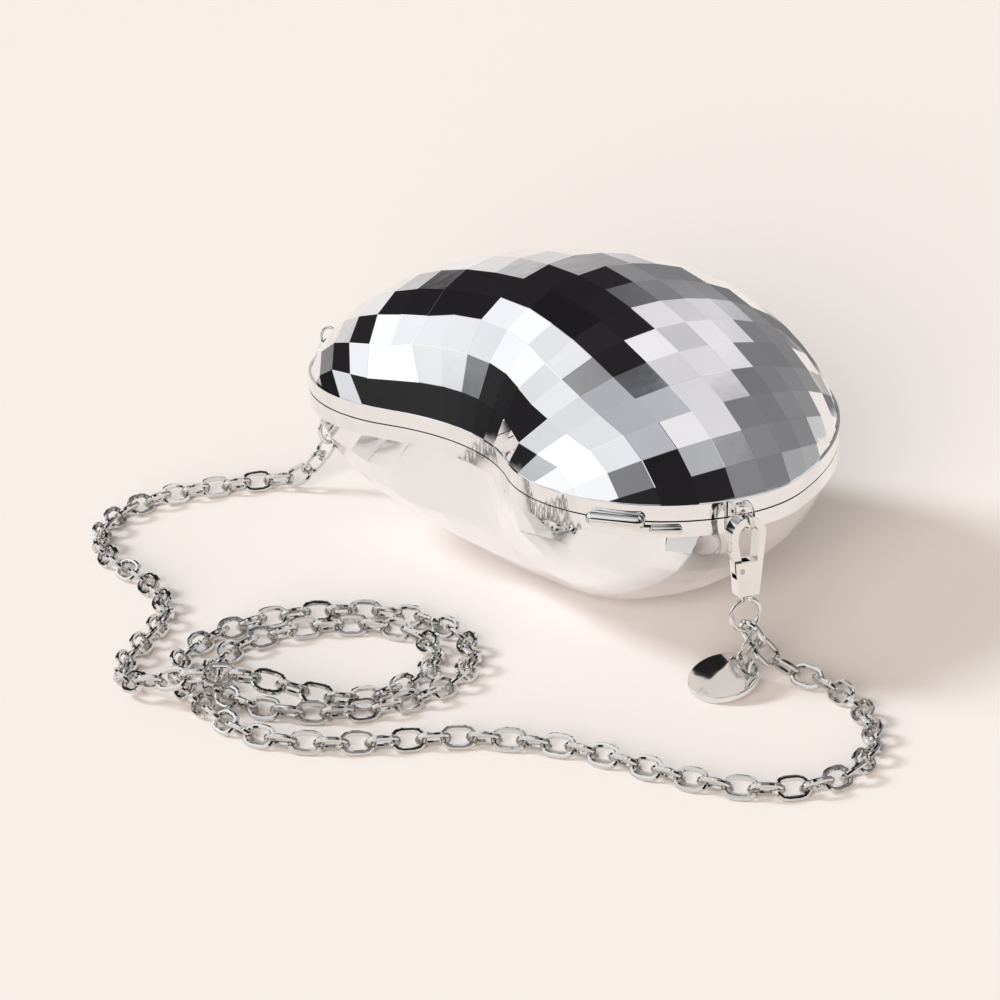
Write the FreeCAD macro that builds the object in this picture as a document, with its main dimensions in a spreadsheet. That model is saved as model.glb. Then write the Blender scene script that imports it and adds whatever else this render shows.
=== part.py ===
import FreeCAD, Part
import math
import os

# A hard heart shaped purse: two faceted metal domes on plain bands, a hinge on one
# straight side, a two-bar snap clasp on the lobe opposite, and a chain strap clipped
# to rings at the lobes and lying in two loose turns on the floor.
# Frame: +Z up, the heart's mirror plane is x = 0, +Y runs from the cleft to the tip,
# and the origin is the middle of the small flat that the purse rests on.

Vector = FreeCAD.Vector
Placement = FreeCAD.Placement
Rotation = FreeCAD.Rotation

SIZES = [
    # Heart outline seen from above
    ("half_width", 80.0),
    ("lobe_radius", 38.0),
    ("lobe_setback", 10.2),
    ("cleft_radius", 56.0),
    ("side_radius", 106.0),
    ("tip_radius", 16.0),
    ("tip_reach", 66.0),
    # Domes and their tiles
    ("dome_height", 41.0),
    ("dome_power", 1.75),
    ("base_flat", 2.0),
    ("shell_wall", 1.6),
    ("fan_depth", 28.0),
    ("tile_taper", 0.23),
    ("tiles_aside", 10),
    ("tiles_front", 7),
    ("tiles_back", 9),
    ("crest_shift", 1.0),
    ("crest_share", 0.11),
    ("front_rest_share", 0.8),
    ("cleft_fill_share", 1.7),
    ("cleft_soft_share", 0.3),
    ("cleft_lean_share", 0.03),
    # Bands and linings
    ("band_height", 4.0),
    ("frame_width", 4.0),
    ("seam_gap", 0.3),
    ("lining_wall", 0.8),
    # Hinge
    ("hinge_length", 26.0),
    ("knuckle_radius", 1.8),
    ("knuckle_stand", 0.4),
    ("knuckle_gap", 0.3),
    ("leaf_thickness", 0.9),
    ("leaf_height", 3.3),
    ("hinge_pin_radius", 0.8),
    ("pin_play", 0.05),
    # Clasp
    ("bar_length", 14.6),
    ("bar_radius", 1.7),
    ("bar_shift", -3.0),
    ("bar_stand", 1.0),
    ("bar_lift", 0.2),
    ("lip_gap", 1.4),
    ("catch_length", 8.0),
    ("catch_radius", 0.95),
    ("catch_shift", 8.8),
    ("catch_drop", 1.8),
    ("catch_stand", 0.6),
    ("tongue_depth", 1.0),
    ("tongue_height", 1.3),
    ("tongue_length", 8.0),
    # Lugs and rings
    ("lug_angle", -11.7),
    ("lug_width", 4.0),
    ("lug_plate", 1.4),
    ("lug_gap", 0.4),
    ("lug_drop", 3.6),
    ("lug_rise", 4.2),
    ("lug_eye_reach", 3.2),
    ("lug_eye_radius", 1.15),
    ("ring_radius", 3.3),
    ("ring_wire", 0.5),
    ("ring_lean", 20.0),
    # Snap hooks
    ("hook_thickness", 3.6),
    ("foot_half", 2.7),
    ("shoulder_half", 3.6),
    ("shoulder_rise", 8.6),
    ("spine_inner", 1.9),
    ("claw_outer", 4.6),
    ("claw_inner", 2.7),
    ("claw_rise", 15.2),
    ("claw_shift", 0.4),
    ("claw_end", 195.0),
    ("claw_clear", 0.9),
    ("slot_width", 2.4),
    ("slot_floor", 4.3),
    ("slot_reach", 0.5),
    ("gate_thickness", 1.9),
    ("gate_boss", 1.6),
    ("gate_pivot_aside", 2.0),
    ("gate_pivot_rise", 6.4),
    ("gate_clear", 0.3),
    ("gate_bar", 1.7),
    ("nub_reach", 1.0),
    ("gate_pin_radius", 0.6),
    ("spring_pocket_radius", 1.15),
    ("spring_pocket_depth", 0.75),
    ("spring_radius", 0.9),
    ("spring_wire", 0.22),
    ("spring_turns", 2),
    ("stud_radius", 0.75),
    ("stud_head_radius", 1.2),
    ("stud_head_height", 1.0),
    ("foot_floor", 1.5),
    ("swivel_gap", 0.25),
    ("collar_radius", 1.6),
    ("eye_radius", 3.9),
    ("eye_wire", 0.6),
    ("eye_twist", -18.0),
    # Strap
    ("link_length", 8.3),
    ("link_width", 6.15),
    ("link_wire", 1.5),
    ("link_cut", 1.4),
    ("link_slack", 0.4),
    ("floor_gap", 0.05),
    # Charm
    ("charm_radius", 8.6),
    ("charm_thickness", 1.6),
    ("charm_edge", 0.4),
    ("charm_hole_radius", 1.5),
    ("charm_hole_inset", 2.3),
    ("charm_ring_radius", 4.8),
    ("charm_wire", 0.4),
    ("charm_hold", 30.0),
    ("charm_swing", 25.0),
]

doc = FreeCAD.newDocument("HeartPurse")
sheet = doc.addObject("Spreadsheet::Sheet", "Sizes")
for row, (alias, value) in enumerate(SIZES, start=1):
    sheet.set("A%d" % row, alias)
    sheet.set("B%d" % row, str(value))
    sheet.setAlias("B%d" % row, alias)
doc.recompute()


def size(alias):
    return float(sheet.get(alias))


NODES = {}


def node(name, obj):
    obj.Label = name
    NODES[name] = obj
    return obj


# Shares of a size that only set a form, such as how many points trace a curve
half_share = 0.5
outline_steps = 96
profile_steps = 400
search_steps = 80
halving_steps = 45
slope_steps = 60

seam = size("dome_height")


# Heart outline: six tangent arcs
def heart_centres():
    lobe = Vector(size("half_width") - size("lobe_radius"), -size("lobe_setback"), 0)
    spread = size("lobe_radius") + size("cleft_radius")
    cleft = Vector(0, lobe.y - math.sqrt(spread ** 2 - lobe.x ** 2), 0)
    tip = Vector(0, size("tip_reach") - size("tip_radius"), 0)
    near = size("side_radius") - size("lobe_radius")
    far = size("side_radius") - size("tip_radius")
    run = tip - lobe
    along = (near ** 2 - far ** 2 + run.Length ** 2) / (2 * run.Length)
    across = math.sqrt(near ** 2 - along ** 2)
    unit = Vector(run).normalize()
    side = lobe + unit * along + Vector(unit.y, -unit.x, 0) * -across
    return lobe, cleft, side, tip


LOBE, CLEFT, SIDE, TIP = heart_centres()


def heading(vector):
    return math.atan2(vector.y, vector.x)


cleft_turn = heading(LOBE - CLEFT)
lobe_turn = heading(LOBE - SIDE)
tip_turn = heading(TIP - SIDE)


def mirrored(centre):
    return Vector(-centre.x, centre.y, centre.z)


def outline_arcs(inset):
    lobe_r = size("lobe_radius") - inset
    side_r = size("side_radius") - inset
    tip_r = size("tip_radius") - inset
    cleft_r = size("cleft_radius") + inset
    return [
        (LOBE, lobe_r, cleft_turn - math.pi, lobe_turn),
        (SIDE, side_r, lobe_turn, tip_turn),
        (TIP, tip_r, tip_turn, math.pi - tip_turn),
        (mirrored(SIDE), side_r, math.pi - tip_turn, math.pi - lobe_turn),
        (mirrored(LOBE), lobe_r, math.pi - lobe_turn, 2 * math.pi - cleft_turn),
        (CLEFT, cleft_r, cleft_turn, math.pi - cleft_turn),
    ]


def reach(x, y, inset):
    span = math.hypot(x, y)
    if span == 0:
        return size("cleft_radius")
    ray = Vector(abs(x) / span, y / span, 0)
    turn = math.atan2(ray.x, -ray.y)
    joints = []
    for centre, start in ((LOBE, cleft_turn - math.pi), (LOBE, lobe_turn), (TIP, tip_turn)):
        radius = size("lobe_radius") if centre is LOBE else size("tip_radius")
        point = centre + Vector(math.cos(start), math.sin(start), 0) * (radius - inset)
        joints.append(math.atan2(point.x, -point.y))
    rows = [
        (CLEFT, size("cleft_radius") + inset, -1),
        (LOBE, size("lobe_radius") - inset, 1),
        (SIDE, size("side_radius") - inset, 1),
        (TIP, size("tip_radius") - inset, 1),
    ]
    centre, radius, sign = rows[sum(1 for joint in joints if turn > joint)]
    shadow = ray.dot(centre)
    return shadow + sign * math.sqrt(max(shadow ** 2 - centre.dot(centre) + radius ** 2, 0))


# One dome, measured up from the seam; inset moves it inward all round. Over the cleft
# the dome swells toward a straight front, and a steep wall cuts the cleft into it.
class Dome:
    def __init__(self, inset, flat):
        self.inset = inset
        self.height = size("dome_height") + flat - inset
        self.flat = flat
        self.power = size("dome_power")
        self.band = size("band_height")
        self.front = size("lobe_radius") + size("lobe_setback") - inset
        self.rim_share = self.level(self.band)
        self.edge = LOBE.x * self.rim_share
        self.slopes = {}

    def level(self, z):
        return (1 - min(max(z, 0) / self.height, 1) ** self.power) ** (1 / self.power)

    def swell(self, x, y, heart):
        if y >= 0 or abs(x) * self.front > -y * LOBE.x:
            return 0
        straight = math.hypot(x, y) * self.front / -y
        return size("cleft_fill_share") * max(straight - heart, 0)

    def girth(self, x, y, z):
        heart = reach(x, y, self.inset)
        swell = self.swell(x, y, heart)
        dome = self.level(z) * (heart + swell)
        if swell < 1e-6:
            return dome
        wall = heart * self.rim_share - size("cleft_lean_share") * max(z - self.band, 0)
        soft = size("cleft_soft_share") * swell
        return min(dome, wall) - max(soft - abs(dome - wall), 0) ** 2 / (4 * soft)

    def outside(self, x, y, z):
        return math.hypot(x, y) - self.girth(x, y, z)

    # Plan of the rim: across the cleft it is drawn as a straight front line
    def rim(self):
        points = []
        for centre, radius, start, end in outline_arcs(self.inset):
            count = max(2, round(outline_steps * radius * (end - start) / OUTLINE_LENGTH))
            if centre is CLEFT:
                start, end = end, start
            for step in range(count):
                turn = start + (end - start) * step / count
                ray = Vector(math.cos(turn), math.sin(turn), 0) * radius
                points.append((centre + ray) * self.rim_share)
        return [(point.x, self.front_line() if self.across(point) else point.y) for point in points]

    def front_line(self):
        return -self.front * self.rim_share

    def across(self, point):
        return point.y < 0 and abs(point.x) < self.edge

    def rim_spot(self, x, y):
        if abs(y - self.front_line()) > 1e-4 or abs(x) >= self.edge:
            return Vector(x, y, self.band)
        lobe_r = size("lobe_radius") - self.inset
        cleft_r = size("cleft_radius") + self.inset
        aside = abs(x) / self.rim_share
        if aside < LOBE.x - lobe_r * math.cos(cleft_turn):
            y = CLEFT.y + math.sqrt(cleft_r ** 2 - aside ** 2)
        else:
            y = LOBE.y - math.sqrt(lobe_r ** 2 - (LOBE.x - aside) ** 2)
        return Vector(x, y * self.rim_share, self.band)

    # One lattice line down the front, from the crest row to the rim
    def slope(self, x):
        if x in self.slopes:
            return self.slopes[x]
        fan = size("fan_depth")
        points = []
        for step in range(slope_steps):
            turn = math.pi * half_share * (1 - step / slope_steps)
            ray = Vector(0, -math.cos(turn), math.sin(turn))
            low = 0
            high = size("half_width")
            for _ in range(halving_steps):
                trial = ray * ((low + high) * half_share)
                spot = Vector(x * (trial.z + fan) / (self.band + fan), trial.y + size("crest_shift"), trial.z)
                if self.outside(spot.x, spot.y, spot.z) < 0:
                    low = trial.Length
                else:
                    high = trial.Length
            if spot.z < self.band:
                break
            points.append(spot)
        points.append(self.rim_spot(x, self.front_line()))
        self.slopes[x] = points
        return points

    def part_way(self, y):
        lengths = [0]
        points = self.slope(self.edge * (1 - 1e-9))
        for first, second in zip(points, points[1:]):
            if second.y <= y:
                lengths.append(lengths[-1] + (second - first).Length * (first.y - y) / (first.y - second.y))
                break
            lengths.append(lengths[-1] + (second - first).Length)
        whole = sum((second - first).Length for first, second in zip(points, points[1:]))
        return min(lengths[-1] / whole, 1)

    def placed(self, x, y):
        if y >= size("crest_shift") or abs(x) >= self.edge:
            return self.lifted(x, y)
        way = self.part_way(y)
        spot = stations(self.slope(x), [way, 1 - way])[0]
        return Vector(spot.x, spot.y, min(spot.z, self.height - self.flat))

    def lifted(self, x, y):
        base = self.band + size("fan_depth")
        top = (self.height + size("fan_depth")) / base
        high = top
        low = 1.0
        for step in range(search_steps):
            trial = top + (1 - top) * (step + 1) / search_steps
            if self.outside(x * trial, y, trial * base - size("fan_depth")) < 0:
                low = trial
                break
            high = trial
        for _ in range(halving_steps):
            trial = (low + high) * half_share
            if self.outside(x * trial, y, trial * base - size("fan_depth")) < 0:
                low = trial
            else:
                high = trial
        z = min(low * base - size("fan_depth"), self.height - self.flat)
        return Vector(x * low, y, max(z, self.band))


OUTLINE_LENGTH = sum(radius * (end - start) for _, radius, start, end in outline_arcs(0))


# Lattice lines at steady distances along the dome's profiles
def profile(along_x, fixed, end):
    dome = Dome(0, 0)
    points = []
    for step in range(profile_steps + 1):
        run = end * step / profile_steps
        x, y = (run, fixed) if along_x else (fixed, run)
        share = min(math.hypot(x, y) / reach(x, y, 0), 1)
        z = dome.height * (1 - share ** dome.power) ** (1 / dome.power)
        if z < dome.band:
            break
        points.append(Vector(run, z, 0))
    return points


def stations(points, widths):
    lengths = [0]
    for first, second in zip(points, points[1:]):
        lengths.append(lengths[-1] + (second - first).Length)
    total = sum(widths)
    found = []
    done = 0
    for width in widths:
        done += width
        goal = lengths[-1] * done / total
        index = max(i for i, length in enumerate(lengths) if length <= goal + 1e-9)
        index = min(index, len(points) - 2)
        share = (goal - lengths[index]) / (lengths[index + 1] - lengths[index])
        found.append(points[index] + (points[index + 1] - points[index]) * share)
    return found


def lattice():
    count = int(size("tiles_aside"))
    taper = size("tile_taper")
    widths = [1 + taper * (1 - 2 * i / (count - 1)) for i in range(count)]
    widths[0] *= half_share
    base = size("band_height") + size("fan_depth")
    aside = []
    for point in stations(profile(True, 0, size("half_width")), widths):
        aside.append(point.x * base / (point.y + size("fan_depth")))
    front_end = -(size("lobe_radius") + size("lobe_setback"))
    crest = size("crest_share")
    widths = [1 - crest] + [1] * int(size("tiles_front") - 2) + [size("front_rest_share")]
    front = stations(profile(False, LOBE.x, front_end), widths)[:-1]
    widths = [1 + crest] + [1] * int(size("tiles_back") - 1)
    back = stations(profile(False, 0, size("tip_reach")), widths)
    columns = [-x for x in reversed(aside)] + aside
    rows = [point.x for point in reversed(front)] + [size("crest_shift")] + [point.x for point in back]
    return columns, rows


COLUMNS, ROWS = lattice()


# Cells of the lattice cut to the heart
def clipped(polygon, axis, limit, keep_above):
    kept = []
    for first, second in zip(polygon, polygon[1:] + polygon[:1]):
        inside_first = (first[axis] >= limit) == keep_above
        inside_second = (second[axis] >= limit) == keep_above
        if inside_first:
            kept.append(first)
        if inside_first != inside_second:
            share = (limit - first[axis]) / (second[axis] - first[axis])
            cut = [a + (b - a) * share for a, b in zip(first, second)]
            cut[axis] = limit
            kept.append(tuple(cut))
    return kept


def rounded(point):
    return (round(point[0], 5), round(point[1], 5))


def cells(rim, columns, rows):
    outer = size("half_width") * 2
    edges_x = [-outer] + columns + [outer]
    edges_y = [-outer] + rows + [outer]
    for low_x, high_x in zip(edges_x, edges_x[1:]):
        strip = clipped(clipped(rim, 0, low_x, True), 0, high_x, False)
        for low_y, high_y in zip(edges_y, edges_y[1:]):
            cell = clipped(clipped(strip, 1, low_y, True), 1, high_y, False)
            corners = []
            for point in map(rounded, cell):
                if point not in corners:
                    corners.append(point)
            if len(corners) > 2:
                yield corners


def facets(dome, columns, rows):
    rim = dome.rim()
    heights = {}
    grid_x = {round(x, 5) for x in columns}
    grid_y = {round(y, 5) for y in rows}
    found = []
    for corners in cells(rim, columns, rows):
        for point in corners:
            if point not in heights:
                crossing = point[0] in grid_x and point[1] in grid_y
                heights[point] = dome.placed(*point) if crossing else dome.rim_spot(*point)
        inner = [i for i, p in enumerate(corners) if p[0] in grid_x and p[1] in grid_y]
        turned = corners
        if len(corners) == 4 and len(inner) == 4:
            rising = (heights[corners[0]] + heights[corners[2]]).z
            falling = (heights[corners[1]] + heights[corners[3]]).z
            if falling > rising:
                turned = corners[1:] + corners[:1]
        elif inner:
            turned = corners[inner[0]:] + corners[:inner[0]]
        for second, third in zip(turned[1:], turned[2:]):
            found.append((turned[0], second, third))
    return found, heights


def border(triangles):
    follow = {}
    for triangle in triangles:
        for first, second in zip(triangle, triangle[1:] + triangle[:1]):
            if follow.get((second, first)):
                del follow[(second, first)]
            else:
                follow[(first, second)] = True
    ahead = {first: second for first, second in follow}
    start = min(ahead)
    loop = [start]
    while ahead[loop[-1]] != start:
        loop.append(ahead[loop[-1]])
    return loop


def skin(triangles, heights):
    faces = []
    for triangle in triangles:
        points = [heights[key] for key in triangle]
        area = (points[1] - points[0]).cross(points[2] - points[0]).Length
        if area > 1e-6:
            faces.append(Part.Face(Part.makePolygon(points + points[:1])))
    loop = [heights[key] for key in border(triangles)]
    return faces, Part.makePolygon(loop + loop[:1])


def bowl(outer, outer_lines, inner, inner_lines):
    outside, outer_rim = skin(*facets(outer, *outer_lines))
    inside, inner_rim = skin(*facets(inner, *inner_lines))
    ring = Part.makeFace([outer_rim, inner_rim], "Part::FaceMakerBullseye")
    shell = Part.makeShell(outside + inside + [ring])
    shell.sewShape()
    solid = Part.makeSolid(Part.Shell(shell.Faces))
    if solid.Volume < 0:
        solid.reverse()
    return solid.removeSplitter()


FINE = (COLUMNS, ROWS)
MIDDLE = len(COLUMNS) // 2
COARSE = (COLUMNS[1:MIDDLE:2] + COLUMNS[MIDDLE::2], ROWS[1::2])


def carried(shape, upside_down):
    if upside_down:
        shape = shape.mirror(Vector(0, 0, 0), Vector(0, 0, 1))
    return shape.translated(Vector(0, 0, seam))


def shell_and_lining(half, upside_down):
    flat = size("base_flat") if upside_down else 0
    wall = size("shell_wall")
    shell = bowl(Dome(0, flat), FINE, Dome(wall, flat), COARSE)
    tray = bowl(Dome(wall, flat), COARSE, Dome(wall + size("lining_wall"), flat), COARSE)
    for name, shape in ((half + "_shell", shell), (half + "_lining", tray)):
        piece = doc.addObject("Part::Feature", name)
        piece.Shape = carried(shape, upside_down)
        node(name, piece)


shell_and_lining("upper", False)
shell_and_lining("lower", True)


# Bands: a sketch of tangent arcs, padded
def origin_plane(body, role):
    return [plane for plane in body.Origin.OriginFeatures if plane.Role == role][0]


def sketch_on(body, role, geometry, name):
    sketch = body.newObject("Sketcher::SketchObject", name)
    sketch.AttachmentSupport = [(origin_plane(body, role), "")]
    sketch.MapMode = "FlatFace"
    for piece in geometry:
        sketch.addGeometry(piece, False)
    return sketch


def arc(centre, radius, start, end):
    circle = Part.Circle(centre, Vector(0, 0, 1), radius)
    return Part.ArcOfCircle(circle, start, end)


def ring_geometry():
    rows = outline_arcs(0) + outline_arcs(size("frame_width"))
    return [arc(*row) for row in rows]


def frame(half, base):
    body = doc.addObject("PartDesign::Body", half + "_frame")
    sketch = sketch_on(body, "XY_Plane", ring_geometry(), half + "_band_outline")
    pad = body.newObject("PartDesign::Pad", half + "_band")
    pad.Profile = sketch
    pad.setExpression("Length", "Sizes.band_height - Sizes.seam_gap / 2")
    body.Placement = Placement(Vector(0, 0, base), Rotation())
    node(half + "_frame", body)


frame("upper", seam + size("seam_gap") * half_share)
frame("lower", seam - size("band_height"))


# Bound primitives, each placed in a local frame: x outward, y along the rim, z up
AXIS_ALONG_Y = Rotation(Vector(1, 0, 0), -90)
AXIS_ALONG_X = Rotation(Vector(0, 1, 0), 90)
UPRIGHT = Rotation()


def primitive(kind, name, spot, cells_used):
    piece = doc.addObject(kind, name)
    for prop, expression in cells_used.items():
        piece.setExpression(prop, expression)
    piece.Placement = spot
    return piece


def at(local, x, y, z, turn=UPRIGHT):
    return local.multiply(Placement(Vector(x, y, z), turn))


def cylinder(name, spot, radius, height):
    return primitive("Part::Cylinder", name, spot, {"Radius": radius, "Height": height})


def box(name, spot, length, width, height):
    cells_used = {"Length": length, "Width": width, "Height": height}
    return primitive("Part::Box", name, spot, cells_used)


def torus(name, spot, radius, wire):
    return primitive("Part::Torus", name, spot, {"Radius1": radius, "Radius2": wire})


def fused(name, pieces):
    whole = doc.addObject("Part::MultiFuse", name)
    whole.Shapes = pieces
    return whole


def cut(name, base, tools):
    tool = tools[0] if len(tools) == 1 else fused(name + "_tools", tools)
    left = doc.addObject("Part::Cut", name)
    left.Base = base
    left.Tool = tool
    return left


def rim_place(centre, radius, turn):
    point = centre + Vector(math.cos(turn), math.sin(turn), 0) * radius
    point.z = seam
    return Placement(point, Rotation(Vector(0, 0, 1), math.degrees(turn)))


# Hinge on the straight side, axis along the rim at the height of the seam
side_middle = (lobe_turn + tip_turn) * half_share
hinge_turn = math.pi - side_middle
HINGE = rim_place(mirrored(SIDE), size("side_radius"), hinge_turn)
axis_out = size("knuckle_stand") + size("knuckle_radius")
knuckle_count = 5
knuckle_pitch = size("hinge_length") / knuckle_count


def knuckle(name, index, radius, spare):
    start = -size("hinge_length") * half_share + index * knuckle_pitch
    low = start + size("knuckle_gap") * half_share * spare
    length = "Sizes.hinge_length / %d - %d * Sizes.knuckle_gap" % (knuckle_count, spare)
    return cylinder(name, at(HINGE, axis_out, low, 0, AXIS_ALONG_Y), radius, length)


def hinge_leaf(half, own, other, upward):
    deep = size("leaf_height") - size("seam_gap") * half_share
    low = size("seam_gap") * half_share if upward else -size("leaf_height")
    start = -size("hinge_length") * half_share
    back = -size("frame_width") * half_share
    plate = box(
        half + "_plate",
        at(HINGE, back, start, low),
        "Sizes.frame_width / 2 + Sizes.leaf_thickness",
        "Sizes.hinge_length",
        "Sizes.leaf_height - Sizes.seam_gap / 2",
    )
    web = box(
        half + "_web",
        at(HINGE, 0, start, low),
        "Sizes.knuckle_stand + Sizes.knuckle_radius",
        "Sizes.hinge_length",
        "Sizes.knuckle_radius - Sizes.seam_gap / 2",
    )
    if not upward:
        web.Placement = at(HINGE, 0, start, -size("knuckle_radius"))
    barrels = [knuckle("%s_knuckle_%d" % (half, i), i, "Sizes.knuckle_radius", 1) for i in own]
    whole = fused(half + "_leaf_whole", [plate, web] + barrels)
    tools = []
    for i in other:
        name = "%s_relief_%d" % (half, i)
        tools.append(knuckle(name, i, "Sizes.knuckle_radius + Sizes.knuckle_gap", -1))
    tools.append(cylinder(
        half + "_rim_side",
        at(HINGE, -size("side_radius"), 0, -deep * 2),
        "Sizes.side_radius",
        "Sizes.leaf_height * 4",
    ))
    tools.append(cylinder(
        half + "_pin_bore",
        at(HINGE, axis_out, -size("hinge_length"), 0, AXIS_ALONG_Y),
        "Sizes.hinge_pin_radius + Sizes.pin_play",
        "Sizes.hinge_length * 2",
    ))
    node("hinge_%s_leaf" % half, cut("hinge_%s_leaf" % half, whole, tools))


hinge_leaf("upper", (1, 3), (0, 2, 4), True)
hinge_leaf("lower", (0, 2, 4), (1, 3), False)
node("hinge_pin", cylinder(
    "hinge_pin",
    at(HINGE, axis_out, -size("hinge_length") * half_share, 0, AXIS_ALONG_Y),
    "Sizes.hinge_pin_radius",
    "Sizes.hinge_length",
))


# Clasp on the lobe straight across from the hinge
def lobe_place(turn):
    return rim_place(LOBE, size("lobe_radius"), turn)


clasp_turn = hinge_turn - math.pi


def pill(name, local, out, drop, radius, length):
    start = -size(length) * half_share + size(radius)
    spot = at(local, out, start, drop, AXIS_ALONG_Y)
    bar = cylinder(name + "_bar", spot, "Sizes." + radius, "Sizes.%s - 2 * Sizes.%s" % (length, radius))
    ends = []
    for end, place in (("a", start), ("b", -start)):
        spot = at(local, out, place, drop)
        ends.append(primitive("Part::Sphere", name + "_end_" + end, spot, {"Radius": "Sizes." + radius}))
    return fused(name + "_pill", [bar] + ends)


def lobe_drum(name, low, extra):
    spot = Placement(Vector(LOBE.x, LOBE.y, seam + low), UPRIGHT)
    return cylinder(name, spot, "Sizes.lobe_radius" + extra, "Sizes.band_height * 2")


bar_place = lobe_place(clasp_turn + size("bar_shift") / size("lobe_radius"))
upper_pill = pill("clasp_upper", bar_place, size("bar_stand"), size("bar_lift"), "bar_radius", "bar_length")
node("clasp_upper_bar", cut("clasp_upper_bar", upper_pill, [
    lobe_drum("clasp_upper_seat", 0, ""),
    lobe_drum("clasp_lip_space", -size("band_height") * 2, " + Sizes.lip_gap"),
]))

catch_place = lobe_place(clasp_turn + size("catch_shift") / size("lobe_radius"))
lower_pill = pill("clasp_lower", catch_place, size("catch_stand"), -size("catch_drop"), "catch_radius", "catch_length")
tongue_block = box(
    "clasp_tongue_block",
    at(catch_place, -size("frame_width"), -size("tongue_length"), -size("catch_drop") - size("tongue_height") * half_share),
    "Sizes.frame_width * 2",
    "Sizes.tongue_length",
    "Sizes.tongue_height",
)
tongue = doc.addObject("Part::Common", "clasp_tongue")
tongue.Base = tongue_block
tongue.Tool = lobe_drum("clasp_tongue_reach", -size("band_height") * 2, " + Sizes.tongue_depth")
catch_whole = fused("clasp_lower_whole", [lower_pill, tongue])
node("clasp_lower_bar", cut("clasp_lower_bar", catch_whole, [
    lobe_drum("clasp_lower_seat", -size("band_height") * 2, ""),
]))


# Lug and ring at the side of each lobe
def lug(side, local, lobe):
    half = size("lug_width") * half_share
    back = -size("lug_plate")
    plate = box(
        side + "_lug_plate",
        at(local, back, -half, -size("lug_drop")),
        "Sizes.lug_plate * 2 + Sizes.lug_gap",
        "Sizes.lug_width",
        "Sizes.lug_drop + Sizes.lug_rise",
    )
    tab_low = size("lug_rise") - size("lug_plate")
    tab = box(
        side + "_lug_tab",
        at(local, 0, -half, tab_low),
        "Sizes.lug_eye_reach",
        "Sizes.lug_width",
        "Sizes.lug_plate",
    )
    nose = cylinder(
        side + "_lug_nose", at(local, size("lug_eye_reach"), 0, tab_low), "Sizes.lug_width / 2", "Sizes.lug_plate"
    )
    hole = cylinder(
        side + "_lug_hole",
        at(local, size("lug_eye_reach"), 0, -size("lug_drop") - size("lug_plate")),
        "Sizes.lug_eye_radius",
        "Sizes.lug_drop + Sizes.lug_rise + 2 * Sizes.lug_plate",
    )
    seat = cylinder(
        side + "_lug_seat",
        Placement(Vector(lobe.x, lobe.y, seam - size("lug_drop") * 2), UPRIGHT),
        "Sizes.lobe_radius",
        "Sizes.lug_drop * 2",
    )
    clear = cylinder(
        side + "_lug_clear",
        Placement(Vector(lobe.x, lobe.y, seam - size("seam_gap") * half_share), UPRIGHT),
        "Sizes.lobe_radius + Sizes.lug_gap",
        "Sizes.lug_rise * 2",
    )
    whole = fused(side + "_lug_whole", [plate, tab, nose])
    node(side + "_lug", cut(side + "_lug", whole, [hole, seat, clear]))


lean = math.radians(size("ring_lean"))
ring_out = size("lug_eye_reach") + size("ring_radius") * math.cos(lean)
ring_height = size("lug_rise") - size("lug_plate") * half_share - size("ring_radius") * math.sin(lean)
claw_under = ring_height - (size("ring_radius") - size("ring_wire")) + size("claw_clear")
hook_base = claw_under - size("claw_rise") - size("claw_inner")


def wire_ring(side, local):
    spot = at(local, ring_out, 0, ring_height, AXIS_ALONG_Y)
    node(side + "_ring", torus(side + "_ring", spot, "Sizes.ring_radius", "Sizes.ring_wire"))


# Snap hook: claw and body as one pad, slot for the gate, pocket for the swivel
def line(first, second):
    return Part.LineSegment(Vector(*first, 0), Vector(*second, 0))


def closed_lines(points):
    return [line(a, b) for a, b in zip(points, points[1:] + points[:1])]


def on_claw(radius, degrees):
    turn = math.radians(degrees)
    return (radius * math.cos(turn) - size("claw_shift"), size("claw_rise") + radius * math.sin(turn))


def pad_of(body, sketch, name, expression):
    pad = body.newObject("PartDesign::Pad", name)
    pad.Profile = sketch
    pad.SideType = "Symmetric"
    pad.setExpression("Length", expression)
    return pad


def pocket_of(body, sketch, name, expression):
    pocket = body.newObject("PartDesign::Pocket", name)
    pocket.Profile = sketch
    pocket.SideType = "Symmetric"
    pocket.setExpression("Length", expression)
    return pocket


def hook_geometry():
    end = size("claw_end")
    centre = Vector(-size("claw_shift"), size("claw_rise"), 0)
    foot_right = (size("foot_half"), 0)
    foot_left = (-size("foot_half"), 0)
    shoulder_right = (size("shoulder_half"), size("shoulder_rise"))
    shoulder_left = (-size("shoulder_half"), size("shoulder_rise"))
    spine_foot = (size("spine_inner"), size("shoulder_rise"))
    tip_out = on_claw(size("claw_outer"), end)
    tip_in = on_claw(size("claw_inner"), end)
    return [
        line(foot_left, foot_right),
        line(foot_right, shoulder_right),
        line(shoulder_right, on_claw(size("claw_outer"), 0)),
        arc(centre, size("claw_outer"), 0, math.radians(end)),
        line(tip_out, tip_in),
        arc(centre, size("claw_inner"), 0, math.radians(end)),
        line(on_claw(size("claw_inner"), 0), spine_foot),
        line(spine_foot, shoulder_left),
        line(shoulder_left, foot_left),
    ]


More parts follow.
